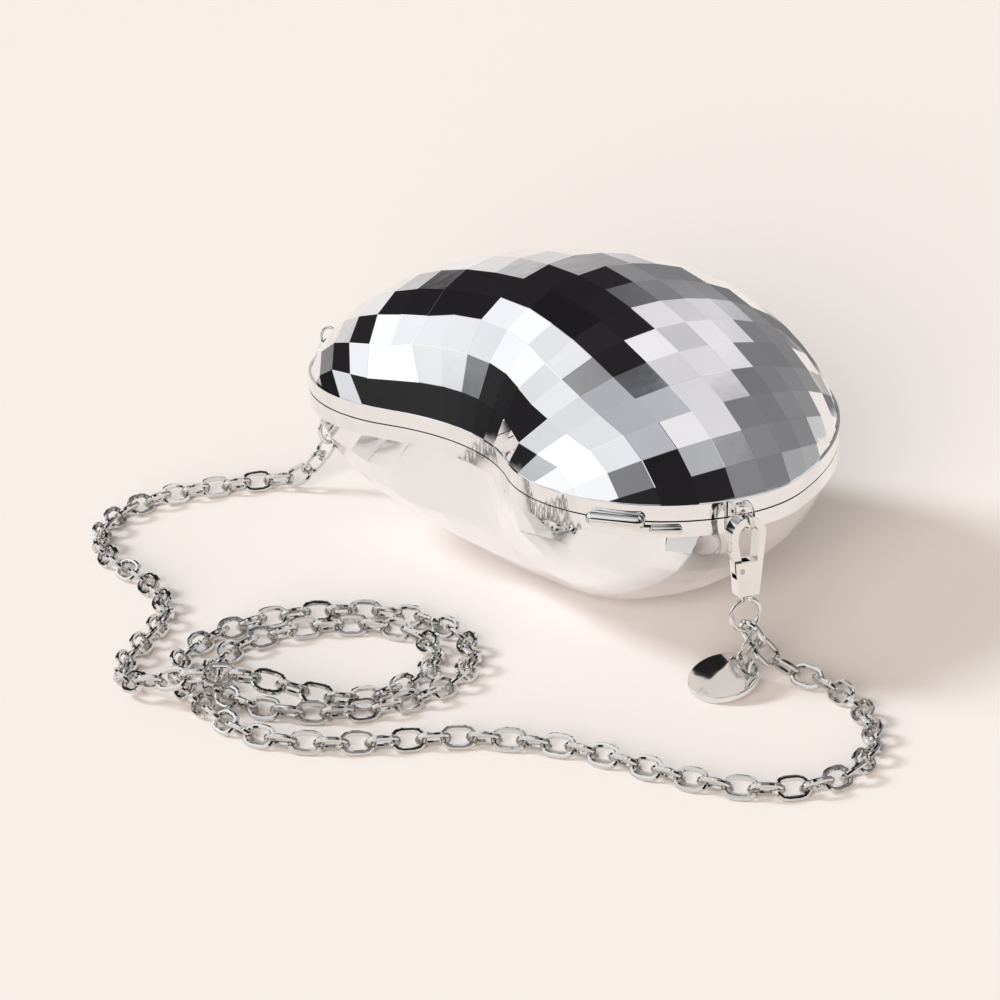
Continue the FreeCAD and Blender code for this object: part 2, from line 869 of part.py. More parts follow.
def hook_body(side, local):
    body = doc.addObject("PartDesign::Body", side + "_hook_body")
    outline = sketch_on(body, "YZ_Plane", hook_geometry(), side + "_hook_outline")
    pad_of(body, outline, side + "_hook_pad", "Sizes.hook_thickness")
    wide = size("shoulder_half") * 2
    top = size("shoulder_rise") + size("gate_clear")
    corners = [(-wide, size("slot_floor")), (size("slot_reach"), size("slot_floor")), (size("slot_reach"), top), (-wide, top)]
    slot = sketch_on(body, "YZ_Plane", closed_lines(corners), side + "_slot_outline")
    pocket_of(body, slot, side + "_slot", "Sizes.slot_width")
    pivot = Vector(-size("gate_pivot_aside"), size("gate_pivot_rise"), 0)
    bore = [Part.Circle(pivot, Vector(0, 0, 1), size("gate_pin_radius") + size("pin_play") * half_share)]
    hole = sketch_on(body, "YZ_Plane", bore, side + "_bore_outline")
    pocket_of(body, hole, side + "_bore", "Sizes.hook_thickness * 2")
    play = size("swivel_gap") * half_share
    neck = size("stud_radius") + size("pin_play")
    wide = size("stud_head_radius") + play
    floor = size("foot_floor")
    roof = floor + size("stud_head_height") + 2 * play
    outline = [(0, 0), (neck, 0), (neck, floor), (wide, floor), (wide, roof), (0, roof)]
    pocket = sketch_on(body, "YZ_Plane", closed_lines(outline), side + "_swivel_outline")
    groove = body.newObject("PartDesign::Groove", side + "_swivel_pocket")
    groove.Profile = pocket
    groove.ReferenceAxis = (pocket, ["V_Axis"])
    groove.Angle = 360
    body.Placement = at(local, ring_out, 0, hook_base)
    node(side + "_hook_body", body)


def gate_geometry():
    end = size("claw_end")
    clear = size("gate_clear")
    boss = size("gate_boss")
    pivot = (-size("gate_pivot_aside"), size("gate_pivot_rise"))
    tip_out = on_claw(size("claw_outer"), end)
    tip_in = on_claw(size("claw_inner"), end)
    top_out = (tip_out[0] + clear, tip_out[1] - clear)
    top_in = (top_out[0] + size("gate_bar"), tip_in[1] - clear)
    waist = size("shoulder_rise") + clear
    outer_waist = (pivot[0] - boss - clear, waist + clear)
    inner_waist = (outer_waist[0] + size("gate_bar") + clear, waist + clear)
    nub_low = (outer_waist[0] - size("nub_reach") * half_share, waist + size("nub_reach"))
    nub_high = (outer_waist[0] - size("nub_reach"), waist + 2 * size("nub_reach"))
    nub_end = (outer_waist[0] - size("nub_reach") * half_share, waist + 3 * size("nub_reach"))
    centre = Vector(pivot[0], pivot[1], 0)
    left = (pivot[0] - boss, pivot[1])
    right = (pivot[0] + boss, pivot[1])
    outline = [right, inner_waist, top_in, top_out, nub_end, nub_high, nub_low, outer_waist, left]
    lines = [line(a, b) for a, b in zip(outline, outline[1:])]
    return lines + [arc(centre, boss, math.pi, 2 * math.pi)]


def hook_gate(side, local):
    body = doc.addObject("PartDesign::Body", side + "_hook_gate")
    outline = sketch_on(body, "YZ_Plane", gate_geometry(), side + "_gate_outline")
    pad_of(body, outline, side + "_gate_pad", "Sizes.gate_thickness")
    pivot = Vector(-size("gate_pivot_aside"), size("gate_pivot_rise"), 0)
    bore = [Part.Circle(pivot, Vector(0, 0, 1), size("gate_pin_radius") + size("pin_play"))]
    hole = sketch_on(body, "YZ_Plane", bore, side + "_gate_bore_outline")
    pocket_of(body, hole, side + "_gate_bore", "Sizes.hook_thickness * 2")
    seat = [Part.Circle(pivot, Vector(0, 0, 1), size("spring_pocket_radius"))]
    ring = sketch_on(body, "YZ_Plane", seat, side + "_spring_outline")
    ring.AttachmentOffset = Placement(Vector(0, 0, size("gate_thickness") * half_share), UPRIGHT)
    pocket_of(body, ring, side + "_spring_pocket", "Sizes.spring_pocket_depth * 2")
    body.Placement = at(local, ring_out, 0, hook_base)
    node(side + "_hook_gate", body)


def gate_spring(side, local):
    turns = int(size("spring_turns"))
    sides = 10
    half = size("spring_wire") * half_share
    high = size("gate_thickness") * half_share - half
    low = high - (size("spring_pocket_depth") - size("spring_wire")) + size("pin_play")
    sections = []
    for step in range(turns * sides + 1):
        turn = 2 * math.pi * step / sides
        out = low + (high - low) * step / (turns * sides)
        ray = Vector(0, math.cos(turn), math.sin(turn))
        section = []
        for radial, axial in ((-half, -half), (half, -half), (half, half), (-half, half)):
            section.append(ray * (size("spring_radius") + radial) + Vector(out + axial, 0, 0))
        sections.append(section)
    faces = [Part.Face(Part.makePolygon(end + end[:1])) for end in (sections[0], sections[-1])]
    for first, second in zip(sections, sections[1:]):
        for i, point in enumerate(first):
            j = (i + 1) % len(first)
            for corner in ((point, first[j], second[j]), (point, second[j], second[i])):
                faces.append(Part.Face(Part.makePolygon(list(corner) + [corner[0]])))
    shell = Part.makeShell(faces)
    shell.sewShape()
    solid = Part.makeSolid(Part.Shell(shell.Faces))
    if solid.Volume < 0:
        solid.reverse()
    spring = doc.addObject("Part::Feature", side + "_gate_spring")
    spring.Shape = solid
    centre = at(local, ring_out, -size("gate_pivot_aside"), hook_base + size("gate_pivot_rise"))
    spring.Placement = centre
    node(side + "_gate_spring", spring)


def gate_pin(side, local):
    half = size("hook_thickness") * half_share
    rise = hook_base + size("gate_pivot_rise")
    spot = at(local, ring_out - half, -size("gate_pivot_aside"), rise, AXIS_ALONG_X)
    node(side + "_gate_pin", cylinder(side + "_gate_pin", spot, "Sizes.gate_pin_radius", "Sizes.hook_thickness"))


eye_drop = size("swivel_gap") + size("eye_wire") + size("eye_radius") + size("eye_wire")


def swivel_eye(side, local, face_turn):
    play = size("swivel_gap") * half_share
    eye = torus(
        side + "_eye_loop",
        Placement(at(local, ring_out, 0, hook_base - eye_drop).Base, Rotation(Vector(0, 0, 1), face_turn).multiply(AXIS_ALONG_Y)),
        "Sizes.eye_radius",
        "Sizes.eye_wire",
    )
    collar = cylinder(
        side + "_eye_collar",
        at(local, ring_out, 0, hook_base - size("swivel_gap") - 2 * size("eye_wire")),
        "Sizes.collar_radius",
        "Sizes.eye_wire * 2",
    )
    stud = cylinder(
        side + "_eye_stud",
        at(local, ring_out, 0, hook_base - size("swivel_gap") - size("eye_wire")),
        "Sizes.stud_radius",
        "Sizes.swivel_gap + Sizes.eye_wire + Sizes.foot_floor + Sizes.stud_head_height",
    )
    head = cylinder(
        side + "_eye_head",
        at(local, ring_out, 0, hook_base + size("foot_floor") + play),
        "Sizes.stud_head_radius",
        "Sizes.stud_head_height",
    )
    node(side + "_swivel_eye", fused(side + "_swivel_eye", [eye, collar, stud, head]))


lug_turn = math.radians(size("lug_angle"))
SIDES = {
    "right": (rim_place(LOBE, size("lobe_radius"), lug_turn), LOBE),
    "left": (rim_place(mirrored(LOBE), size("lobe_radius"), math.pi - lug_turn), mirrored(LOBE)),
}


# Strap: one curve from hook to hook, given by points chosen by hand (x, y, lift)
lie = (size("link_width") + size("link_wire")) * math.sqrt(half_share) * half_share + size("floor_gap")
hang = at(SIDES["right"][0], ring_out, 0, hook_base - eye_drop).Base
eye_top = hang.z - size("eye_radius") + size("eye_wire")

RIGHT_POINTS = [
    (90, -12, 2.6), (94, -9, 0.6), (100, -7, 0.1), (110, -8, 0), (121, -12, 0), (135, -22, 0), (144, -37, 0),
    (143, -51, 0), (136, -61, 0), (126, -67, 0), (115, -71, 0), (104, -74, 0), (93, -78, 0), (83, -85, 0),
    (74, -93, 0), (68, -103, 0), (62, -115, 0), (53, -126, 0), (43, -132, 0), (32, -133, 0),
]
LEFT_POINTS = [
    (39, -104, 0.4), (34, -111, 2.4), (29, -117, 5), (24, -123, 6.6), (19, -129, 6.6), (13, -135, 5), (5, -139, 2),
    (-6, -137, 0.3), (-15, -129, 0), (-23, -118, 0), (-32, -107, 0), (-44, -101, 0), (-58, -98, 0),
    (-73, -98, 0), (-87, -93, 0), (-98, -83, 0), (-104, -70, 0), (-105, -56, 0), (-102, -44, 0),
    (-99, -34, 0.1), (-95, -28, 0.6), (-91, -25, 2.6),
]
hang_lean_share = 0.6
coil_turns = 2
coil_points = 13
coil_middle = (18, -94)
coil_outer = (34, 38)
coil_inner = (24, 29)
coil_skip_count = (1, 3)
coil_start_share = 0.55
coil_ease_share = 0.6


def coil():
    points = []
    total = coil_turns * coil_points
    for step in range(coil_skip_count[0], total - coil_skip_count[1] + 1):
        turn = -math.pi * half_share - 2 * math.pi * step / coil_points
        share = min(max((step / coil_points - coil_start_share) / coil_ease_share, 0), 1)
        ease = share * share * (3 - 2 * share)
        wide = coil_outer[0] + (coil_inner[0] - coil_outer[0]) * ease
        deep = coil_outer[1] + (coil_inner[1] - coil_outer[1]) * ease
        points.append((coil_middle[0] + wide * math.cos(turn), coil_middle[1] + deep * math.sin(turn), 0))
    return points


def hung(spot, lying):
    run = Vector(lying.x - spot.x, lying.y - spot.y, 0).normalize()
    ahead = (run * hang_lean_share + Vector(0, 0, -1)).normalize()
    top = Vector(spot.x, spot.y, eye_top + size("link_slack") + size("link_wire") * half_share)
    start = top + ahead * (size("link_length") - size("link_wire")) * half_share
    return start, start + ahead * size("link_length") * half_share


def strap_curve():
    floor = [Vector(x, y, lie + lift) for x, y, lift in RIGHT_POINTS + coil() + LEFT_POINTS]
    right = hung(hang, floor[0])
    left = hung(mirrored(hang), floor[-1])
    poles = list(right) + floor + [left[1], left[0]]
    count = len(poles) - 1
    curve = Part.BSplineCurve()
    curve.buildFromPolesMultsKnots(poles, [3] + [1] * (count - 2) + [3], list(range(count)), False, 2)
    return curve


def flat_link():
    wire = size("link_wire")
    shapes = []
    for grow in (0, -wire):
        long = size("link_length") * half_share + grow
        wide = size("link_width") * half_share + grow
        trim = size("link_cut") + grow * (2 - math.sqrt(2))
        corners = []
        for sign_x, sign_y, first in ((1, 1, True), (-1, 1, False), (-1, -1, True), (1, -1, False)):
            pair = [(long, wide - trim), (long - trim, wide)]
            for x, y in pair if first else reversed(pair):
                corners.append(Vector(sign_x * x, sign_y * y, -wire * half_share))
        shapes.append(Part.makePolygon(corners + corners[:1]))
    return Part.makeFace(shapes, "Part::FaceMakerBullseye").extrude(Vector(0, 0, wire))


def strap():
    curve = strap_curve()
    length = curve.length()
    pitch = size("link_length") - 2 * size("link_wire") - size("link_slack")
    count = int(round(length / pitch)) + 1
    rolled = math.pi / 4
    params = [curve.parameterAtDistance(length * i / (count - 1)) for i in range(count)]
    links = []
    faces = []
    for index, param in enumerate(params):
        ahead = Vector(*curve.tangent(param)[0]).normalize()
        across = Vector(0, 0, 1).cross(ahead).normalize()
        sign = -1 if index % 2 == 0 else 1
        up = ahead.cross(across)
        wide = across * math.cos(rolled) + up * math.sin(rolled * sign)
        thick = ahead.cross(wide)
        spin = Rotation(ahead, wide, thick, "XYZ")
        links.append(Placement(curve.value(param), spin))
        faces.append(wide)
    return curve, links, faces


curve, link_places, link_faces = strap()
print("strap length", round(curve.length(), 1), "links", len(link_places))
bends = [1 / max(curve.curvature(curve.parameterAtDistance(curve.length() * i / 400)), 1e-6) for i in range(1, 400)]
print("tightest strap bend", round(min(bends), 1))


def nearest_link(point):
    gaps = [(place.Base - Vector(point[0], point[1], lie)).Length for place in link_places]
    return gaps.index(min(gaps))


first_cut = nearest_link(RIGHT_POINTS[-1])
second_cut = nearest_link(LEFT_POINTS[0])


def chain(name, places):
    pattern = flat_link()
    shapes = []
    for place in places:
        copy = pattern.copy()
        copy.Placement = place
        shapes.append(copy)
    piece = doc.addObject("Part::Feature", name)
    piece.Shape = Part.makeCompound(shapes)
    node(name, piece)


chain("chain_right_run", link_places[:first_cut])
chain("chain_coil", link_places[first_cut:second_cut])
chain("chain_left_run", link_places[second_cut:])


# Each eye stands square to the link that hangs in it
def square_turn(wide):
    return math.degrees(heading(wide)) + 90


EYE_TURNS = {"right": square_turn(link_faces[0]) + size("eye_twist"), "left": square_turn(link_faces[-1])}
for side, (local, lobe) in SIDES.items():
    lug(side, local, lobe)
    wire_ring(side, local)
    hook_body(side, local)
    hook_gate(side, local)
    gate_pin(side, local)
    gate_spring(side, local)
    swivel_eye(side, local, EYE_TURNS[side])


# Charm: a bare disc leaning from its ring to the floor
first_link = link_places[0]
ahead = first_link.Rotation.multVec(Vector(1, 0, 0))
ring_ray = first_link.Rotation.multVec(Vector(0, 0, 1))
if ring_ray.y > 0:
    ring_ray = ring_ray * -1
plumb = Vector(0, 0, -1)
plumb = (plumb - ring_ray * plumb.dot(ring_ray)).normalize()
swings = [Rotation(ring_ray, sign * size("charm_swing")).multVec(plumb) for sign in (1, -1)]
ring_down = min(swings, key=ahead.dot)
ring_axis = ring_ray.cross(ring_down)
loop_middle = first_link.Base - ahead * size("link_slack") * half_share + ring_down * size("charm_ring_radius")
node("charm_ring", torus(
    "charm_ring",
    Placement(loop_middle, Rotation(ring_ray, ring_down, ring_axis, "ZXY")),
    "Sizes.charm_ring_radius",
    "Sizes.charm_wire",
))
hold = math.radians(size("charm_hold"))
to_hole = ring_ray * math.cos(hold) + ring_down * math.sin(hold)
charm_hole = loop_middle + to_hole * size("charm_ring_radius")
hole_arm = size("charm_radius") - size("charm_hole_inset")
charm_half = size("charm_thickness") * half_share
charm_lean = math.asin((charm_hole.z - charm_half - size("floor_gap")) / (size("charm_radius") + hole_arm))


def charm():
    body = doc.addObject("PartDesign::Body", "charm_disc")
    disc = [
        Part.Circle(Vector(0, 0, 0), Vector(0, 0, 1), size("charm_radius")),
        Part.Circle(Vector(hole_arm, 0, 0), Vector(0, 0, 1), size("charm_hole_radius")),
    ]
    outline = sketch_on(body, "XY_Plane", disc, "charm_outline")
    pad = pad_of(body, outline, "charm_pad", "Sizes.charm_thickness")
    doc.recompute()
    rims = []
    for index, edge in enumerate(pad.Shape.Edges, start=1):
        if isinstance(edge.Curve, Part.Circle):
            rims.append("Edge%d" % index)
    fillet = body.newObject("PartDesign::Fillet", "charm_edges")
    fillet.Base = (pad, rims)
    fillet.setExpression("Radius", "Sizes.charm_edge")
    turn = Rotation(Vector(0, 0, 1), math.degrees(heading(ring_ray * -1)))
    tilt = turn.multiply(Rotation(Vector(0, 1, 0), -math.degrees(charm_lean)))
    centre = charm_hole - tilt.multVec(Vector(hole_arm, 0, 0))
    body.Placement = Placement(centre, tilt)
    node("charm_disc", body)


charm()
doc.recompute()

# Places of the joints, for the list of joints
print("seam", seam, "hook base", seam + hook_base, "hang", hang)
print("hinge", HINGE, "axis out", axis_out)
print("charm ring", loop_middle, "axis", ring_axis, "hole", charm_hole, "lean", math.degrees(charm_lean))
print("ring out", ring_out, "ring height", ring_height, "eye turns", EYE_TURNS)

os.makedirs("parts", exist_ok=True)
problems = []
for name, piece in NODES.items():
    states = [state for state in piece.State if state in ("Invalid", "Error")]
    shape = piece.Shape
    if states or shape.isNull() or not shape.isValid():
        problems.append(name)
        continue
    shape.exportStep("parts/%s.step" % name)
    print(name, len(shape.Solids), round(shape.Volume, 1), [round(v, 1) for v in (
        shape.BoundBox.XMin, shape.BoundBox.XMax, shape.BoundBox.YMin, shape.BoundBox.YMax,
        shape.BoundBox.ZMin, shape.BoundBox.ZMax)])
if problems:
    raise RuntimeError("not built: " + ", ".join(problems))
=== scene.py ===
# %% [markdown]
# # A heart shaped purse in mirror facets
# The purse is a hard clutch: two domed halves of bright plated tiles that close on a pair of
# smooth bands, with a chain strap on swivel hooks lying on the floor in front of it.
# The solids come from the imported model. This lesson dresses them: it keeps every place and
# size, and gives each piece its rounded edges, its finish and its light.

import math

import bmesh
import bpy
from mathutils import Matrix, Vector


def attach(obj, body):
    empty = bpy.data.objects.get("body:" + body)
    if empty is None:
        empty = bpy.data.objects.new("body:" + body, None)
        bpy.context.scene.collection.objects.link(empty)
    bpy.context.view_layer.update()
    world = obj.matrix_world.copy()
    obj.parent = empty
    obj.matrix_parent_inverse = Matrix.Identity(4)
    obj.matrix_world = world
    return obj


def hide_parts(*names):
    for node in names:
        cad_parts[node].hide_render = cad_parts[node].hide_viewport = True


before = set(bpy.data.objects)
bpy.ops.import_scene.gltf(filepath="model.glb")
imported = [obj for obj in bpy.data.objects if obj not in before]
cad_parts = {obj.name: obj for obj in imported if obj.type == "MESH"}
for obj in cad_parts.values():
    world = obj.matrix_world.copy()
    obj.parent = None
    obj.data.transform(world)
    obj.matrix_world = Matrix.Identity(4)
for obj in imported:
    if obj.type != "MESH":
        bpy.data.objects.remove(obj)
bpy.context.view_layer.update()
MM = 0.001
scene = bpy.context.scene
scene.view_settings.view_transform = "Standard"

# %% [markdown]
# ## Camera
# A long lens stands well back from a small shiny object, so that little of the camera shows in
# the facets. The lens is given in picture widths: a picture 1000 pixels wide whose focal length
# is 3947 pixels is a 142 mm lens on a 36 mm sensor. The camera is turned a little away from the
# purse, which puts the purse high and right of the middle, with room for the strap.

# %% Camera
FOCAL_PIXELS = 3946.8
PICTURE_PIXELS = 1000
PURSE_PIXEL = (548.9, 424.4)
CAMERA_TURN = math.radians(52.07)
CAMERA_RISE = math.radians(19.06)
CAMERA_SPOT = Vector((743.0, -590.8, 366.5)) * MM
SENSOR_WIDTH = 36


def camera_axes():
    flat = math.cos(CAMERA_RISE)
    back = Vector((math.sin(CAMERA_TURN) * flat, -math.cos(CAMERA_TURN) * flat, math.sin(CAMERA_RISE)))
    right = Vector((math.cos(CAMERA_TURN), math.sin(CAMERA_TURN), 0))
    return right, back.cross(right), back


def aim():
    right, up, back = camera_axes()
    middle = PICTURE_PIXELS / 2
    aside = (middle - PURSE_PIXEL[0]) / FOCAL_PIXELS
    down = (middle - PURSE_PIXEL[1]) / FOCAL_PIXELS
    ahead = (right * aside - up * down - back).normalized()
    right = ahead.cross(up).normalized()
    up = right.cross(ahead)
    return Matrix((right, up, -ahead)).transposed().to_4x4()


lens = bpy.data.cameras.new("studio_lens")
lens.sensor_width = SENSOR_WIDTH
lens.lens = SENSOR_WIDTH * FOCAL_PIXELS / PICTURE_PIXELS
camera = bpy.data.objects.new("studio_camera", lens)
camera.matrix_world = Matrix.Translation(CAMERA_SPOT) @ aim()
scene.collection.objects.link(camera)
scene.camera = camera
print("lens", round(lens.lens, 1), "mm")

# %% [markdown]
# ## The strap's line
# The strap hangs from one hook, lies on the floor in loose bends, goes twice round in a coil,
# passes over its own start in a low hump and climbs to the other hook. A smooth NURBS line
# through a few listed points gives that lie. Each point is (x, y, lift above the lie) in
# millimetres; the two at each end hang from the swivel eyes.

# %% Strap route
LIE = 2.4
HANG_RIGHT = [(86.33, -17.71, 13.16), (87.48, -15.92, 9.60)]
HANG_LEFT = [(-88.08, -21.98, 9.60), (-86.60, -20.44, 13.16)]
RIGHT_RUN = [
    (90, -12, 2.6), (94, -9, 0.6), (100, -7, 0.1), (110, -8, 0), (121, -12, 0), (135, -22, 0),
    (144, -37, 0), (143, -51, 0), (136, -61, 0), (126, -67, 0), (115, -71, 0), (104, -74, 0),
    (93, -78, 0), (83, -85, 0), (74, -93, 0), (68, -103, 0), (62, -115, 0), (53, -126, 0),
    (43, -132, 0), (32, -133, 0),
]
LEFT_RUN = [
    (39, -104, 0.4), (34, -111, 2.4), (29, -117, 5), (24, -123, 6.6), (19, -129, 6.6), (13, -135, 5),
    (5, -139, 2), (-6, -137, 0.3), (-15, -129, 0), (-23, -118, 0), (-32, -107, 0), (-44, -101, 0),
    (-58, -98, 0), (-73, -98, 0), (-87, -93, 0), (-98, -83, 0), (-104, -70, 0), (-105, -56, 0),
    (-102, -44, 0), (-99, -34, 0.1), (-95, -28, 0.6), (-91, -25, 2.6),
]
COIL_MIDDLE = (18, -94)
COIL_OUTER = (34, 38)
COIL_INNER = (24, 29)
COIL_POINTS = 13
COIL_STEPS = range(1, 24)
COIL_EASE = (0.55, 0.6)
LINE_ORDER = 3
LINE_STEPS = 24


def coil():
    points = []
    for step in COIL_STEPS:
        turn = -math.pi / 2 - 2 * math.pi * step / COIL_POINTS
        share = min(max((step / COIL_POINTS - COIL_EASE[0]) / COIL_EASE[1], 0), 1)
        ease = share * share * (3 - 2 * share)
        wide = COIL_OUTER[0] + (COIL_INNER[0] - COIL_OUTER[0]) * ease
        deep = COIL_OUTER[1] + (COIL_INNER[1] - COIL_OUTER[1]) * ease
        points.append((COIL_MIDDLE[0] + wide * math.cos(turn), COIL_MIDDLE[1] + deep * math.sin(turn), 0))
    return points


def smooth_line(name, points):
    """The points of a NURBS line that runs from the first point to the last."""
    curve = bpy.data.curves.new(name, "CURVE")
    curve.dimensions = "3D"
    spline = curve.splines.new("NURBS")
    spline.points.add(len(points) - 1)
    for target, point in zip(spline.points, points):
        target.co = (*point, 1)
    spline.order_u = LINE_ORDER
    spline.use_endpoint_u = True
    spline.resolution_u = LINE_STEPS
    holder = bpy.data.objects.new(name, curve)
    line = bpy.data.meshes.new_from_object(holder)
    found = [vertex.co.copy() for vertex in line.vertices]
    bpy.data.objects.remove(holder)
    bpy.data.meshes.remove(line)
    return found


lying = [(x, y, LIE + lift) for x, y, lift in RIGHT_RUN + coil() + LEFT_RUN]
route = [Vector(point) * MM for point in HANG_RIGHT + lying + HANG_LEFT]
strap_line = smooth_line("strap_line", route)


def lengths_along(points):
    run = [0.0]
    for first, second in zip(points, points[1:]):
        run.append(run[-1] + (second - first).length)
    return run


strap_run = lengths_along(strap_line)
print("strap line", round(strap_run[-1], 4), "m through", len(route), "points")

# %% [markdown]
# ## The strap's links
# The links are slim ovals cut flat on their faces. Each leans half over, to the other side than
# its neighbours, so that they lie a quarter turn apart. One quarter of a link is made from an
# eight-sided section: it is extruded along half of the long side and spun round to the middle of
# the end. Two mirrors close it, and the seams that they leave across the long sides are dissolved.
# The extrusion lists its faces in a new order each run, so the link's faces are sorted by their
# corners. Copies of that one link are then set along the line.

# %% One link
LINK_LENGTH = 8.8 * MM
LINK_WIDTH = 6.2 * MM
LINK_WIRE = 1.27 * MM
LINK_SLACK = 0.40 * MM
LINK_PITCH = LINK_LENGTH - 2 * LINK_WIRE - LINK_SLACK
LINK_SMOOTH = math.radians(35)
WIRE_SIDES = 8
BEND_STEPS = 3
MERGE = 1e-6


def only_edges(geometry):
    return [item for item in geometry if isinstance(item, bmesh.types.BMEdge)]


def only_verts(geometry):
    return [item for item in geometry if isinstance(item, bmesh.types.BMVert)]


def extruded(bm, edges, move):
    fresh = bmesh.ops.extrude_edge_only(bm, edges=edges)["geom"]
    bmesh.ops.translate(bm, verts=only_verts(fresh), vec=move)
    return only_edges(fresh)


def link_mesh():
    long = (LINK_LENGTH - LINK_WIRE) / 2
    wide = (LINK_WIDTH - LINK_WIRE) / 2
    bm = bmesh.new()
    half_side = math.pi / WIRE_SIDES
    bmesh.ops.create_circle(bm, segments=WIRE_SIDES, radius=LINK_WIRE / 2 / math.cos(half_side))
    bmesh.ops.rotate(bm, verts=bm.verts, matrix=Matrix.Rotation(half_side, 3, "Z"))
    bmesh.ops.rotate(bm, verts=bm.verts, matrix=Matrix.Rotation(math.pi / 2, 3, "Y"))
    bmesh.ops.translate(bm, verts=bm.verts, vec=(0, wide, 0))
    edges = extruded(bm, list(bm.edges), (long - wide, 0, 0))
    bmesh.ops.spin(
        bm, geom=edges, cent=(long - wide, 0, 0), axis=(0, 0, 1),
        angle=-math.pi / 2, steps=BEND_STEPS, use_merge=False, use_duplicate=False)
    for axis in "XY":
        bmesh.ops.mirror(bm, geom=bm.verts[:] + bm.edges[:] + bm.faces[:], merge_dist=MERGE, axis=axis)
    bmesh.ops.remove_doubles(bm, verts=bm.verts, dist=MERGE)
    seams = [edge for edge in bm.edges if all(abs(vert.co.x) < MERGE for vert in edge.verts)]
    bmesh.ops.dissolve_edges(bm, edges=seams, use_verts=True)
    bmesh.ops.recalc_face_normals(bm, faces=bm.faces)
    bm.verts.index_update()
    corners = {face: sorted(vert.index for vert in face.verts) for face in bm.faces}
    ranks = {face: rank for rank, face in enumerate(sorted(corners, key=corners.get))}
    bm.faces.sort(key=ranks.get)
    return bm


def finished(name, bm, smooth_angle=None, crisp=()):
    """An object at the origin from a bmesh; edges sharper than the angle, or listed, stay crisp."""
    mesh = bpy.data.meshes.new(name)
    for face in bm.faces:
        face.smooth = smooth_angle is not None
    if smooth_angle is not None:
        for edge in bm.edges:
            bends_little = edge.is_manifold and edge.calc_face_angle() < smooth_angle
            edge.smooth = bends_little and edge not in crisp
    bm.to_mesh(mesh)
    bm.free()
    piece = bpy.data.objects.new(name, mesh)
    scene.collection.objects.link(piece)
    return piece


one_link = link_mesh()
print("one link has", len(one_link.faces), "faces")


# %% Links along the line
def point_at(distance):
    """The spot on the strap's line at a distance along it, and the way the line goes there."""
    index = max(i for i, run in enumerate(strap_run) if run <= distance)
    index = min(index, len(strap_line) - 2)
    share = (distance - strap_run[index]) / (strap_run[index + 1] - strap_run[index])
    step = strap_line[index + 1] - strap_line[index]
    return strap_line[index] + step * share, step.normalized()


def link_places():
    count = round(strap_run[-1] / LINK_PITCH) + 1
    places = []
    for index in range(count):
        spot, ahead = point_at(strap_run[-1] * index / (count - 1))
        across = Vector((0, 0, 1)).cross(ahead).normalized()
        lean = -1 if index % 2 == 0 else 1
        wide = (across + ahead.cross(across) * lean).normalized()
        turn = Matrix((ahead, wide, ahead.cross(wide))).transposed().to_4x4()
        places.append(Matrix.Translation(spot) @ turn)
    return places


def strung(pattern, places):
    bm = bmesh.new()
    mesh = bpy.data.meshes.new("pattern")
    pattern.to_mesh(mesh)
    for place in places:
        start = len(bm.verts)
        bm.from_mesh(mesh)
        bm.verts.ensure_lookup_table()
        bmesh.ops.transform(bm, matrix=place, verts=bm.verts[start:])
    bpy.data.meshes.remove(mesh)
    return bm


links = link_places()
strap = finished("chain_strap", strung(one_link, links), LINK_SMOOTH)
one_link.free()
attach(strap, "case")
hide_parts("chain_right_run", "chain_coil", "chain_left_run")
print("strap of", len(links), "links")

# %% [markdown]
# ## Shader helpers
# A finish is a small tree of nodes. Writing its sums as Python keeps it readable: a Wire holds
# one socket, and adding or multiplying Wires adds the Math nodes. Every other node comes from
# one function, which sets the node's settings first and then its sockets.


# %% Wires and nodes
class Wire:
    """A socket that can be used in a sum."""

    def __init__(self, tree, socket):
        self.tree = tree
        self.socket = socket

    def math(self, operation, first, second):
        return node(self.tree, "ShaderNodeMath", {"operation": operation}, {0: first, 1: second})["Value"]

    def __add__(self, other):
        return self.math("ADD", self, other)

    def __radd__(self, other):
        return self.math("ADD", other, self)

    def __sub__(self, other):
        return self.math("SUBTRACT", self, other)

    def __rsub__(self, other):
        return self.math("SUBTRACT", other, self)

    def __mul__(self, other):
        return self.math("MULTIPLY", self, other)

    def __rmul__(self, other):
        return self.math("MULTIPLY", other, self)

    def at_least(self, other):
        return self.math("MAXIMUM", self, other)

    def eased(self, low, high):
        """0 below low, 1 above high, smooth between them."""
        ends = {"From Min": low, "From Max": high, "Value": self}
        return node(self.tree, "ShaderNodeMapRange", {"interpolation_type": "SMOOTHSTEP"}, ends)["Result"]


def node(tree, kind, settings=None, sockets=None):
    made = tree.nodes.new(kind)
    for name, value in (settings or {}).items():
        setattr(made, name, value)
    for name, value in (sockets or {}).items():
        if isinstance(value, Wire):
            tree.links.new(value.socket, made.inputs[name])
        else:
            made.inputs[name].default_value = value
    return {output.name: Wire(tree, output) for output in made.outputs}


def finish_tree(name):
    material = bpy.data.materials.new(name)
    material.use_nodes = True
    tree = material.node_tree
    shader = next(item for item in tree.nodes if item.type == "BSDF_PRINCIPLED")
    return material, tree, shader


def feed(tree, shader, **wires):
    for name, wire in wires.items():
        tree.links.new(wire.socket, shader.inputs[name.replace("_", " ")])


def blended(tree, share, first, second):
    """A colour between two, by share."""
    made = node(tree, "ShaderNodeMix", {"data_type": "RGBA"}, {"Factor": share})
    mix = made["Result"].socket.node
    for socket, colour in ((mix.inputs[6], first), (mix.inputs[7], second)):
        if isinstance(colour, Wire):
            tree.links.new(colour.socket, socket)
        else:
            socket.default_value = (*colour, 1)
    return Wire(tree, mix.outputs[2])


def dress(piece, material):
    piece.data.materials.clear()
    piece.data.materials.append(material)


